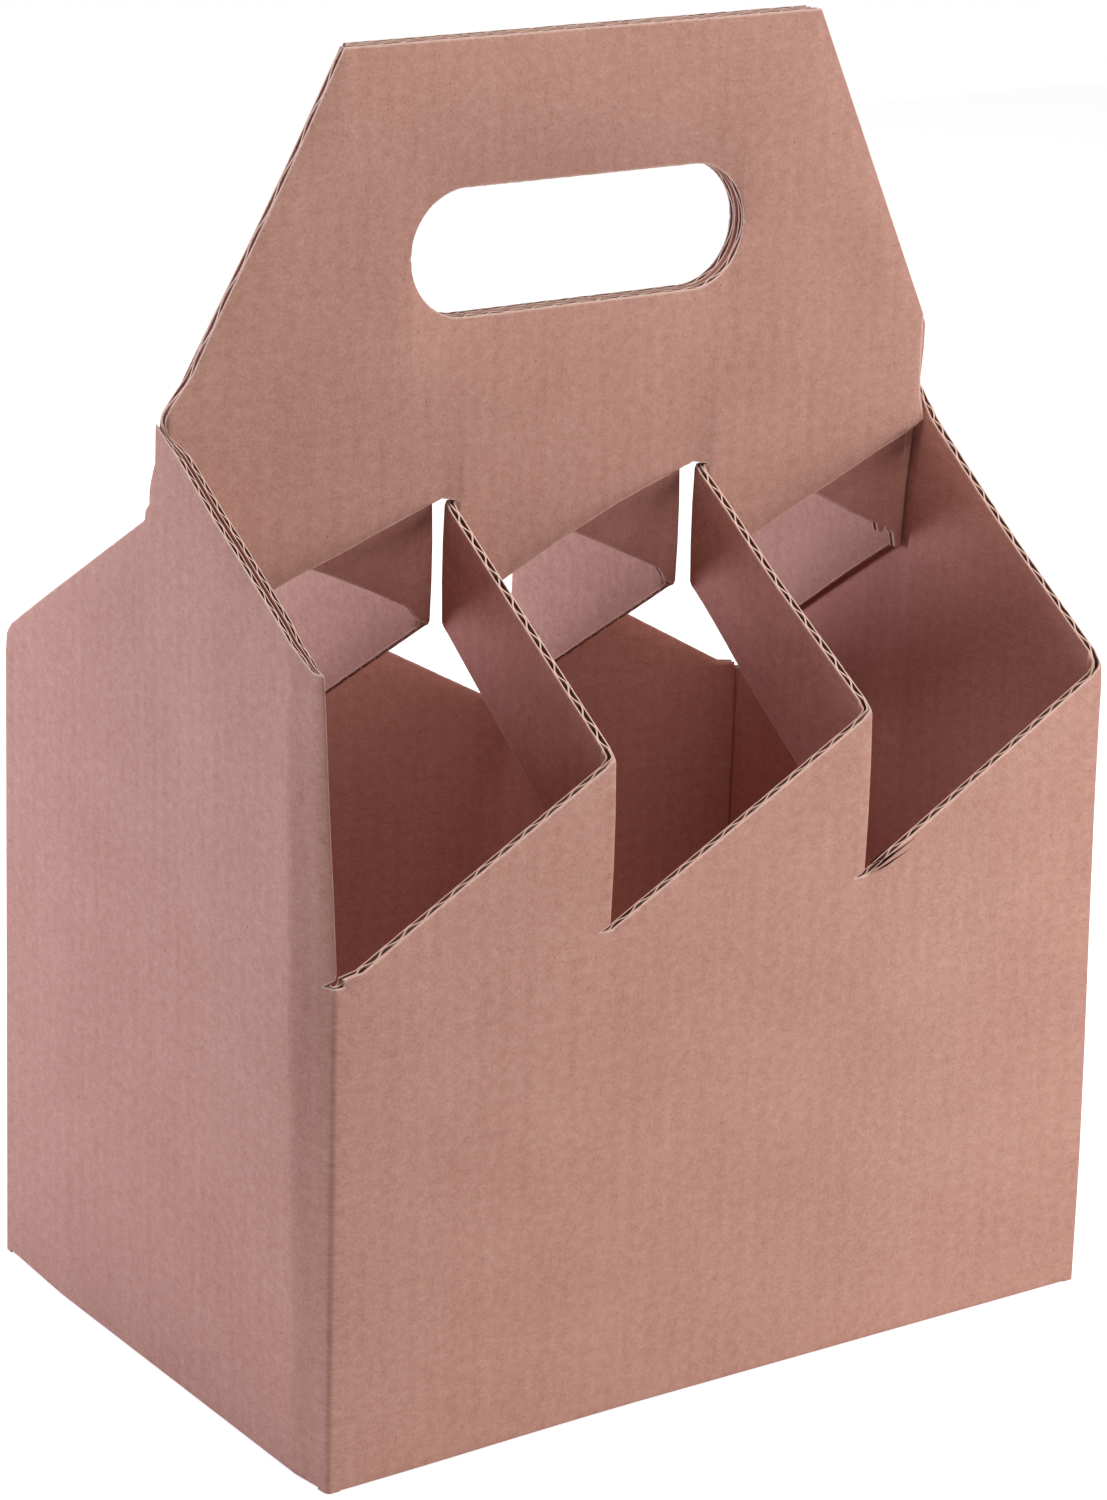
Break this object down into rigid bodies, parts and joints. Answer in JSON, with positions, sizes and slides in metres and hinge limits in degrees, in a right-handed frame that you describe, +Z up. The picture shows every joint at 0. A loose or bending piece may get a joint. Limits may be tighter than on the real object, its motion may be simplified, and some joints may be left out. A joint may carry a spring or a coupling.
{
  "type": "bottle carrier",
  "caption": "Open-topped bottle carrier folded from one sheet of corrugated kraft board, with cells parted by straps and a tall double-ply handle with a rounded hand hole.",
  "frame": {"origin": "middle of the base, on the ground", "axes": "+X along the long walls, +Y from front to back, +Z up through the handle"},
  "size_m": [0.228, 0.155, 0.3215],
  "materials": {
    "kraft_board": "matte"
  },
  "bodies": {
    "root": {"carrier": "kraft_board"}
  },
  "joints": []
}
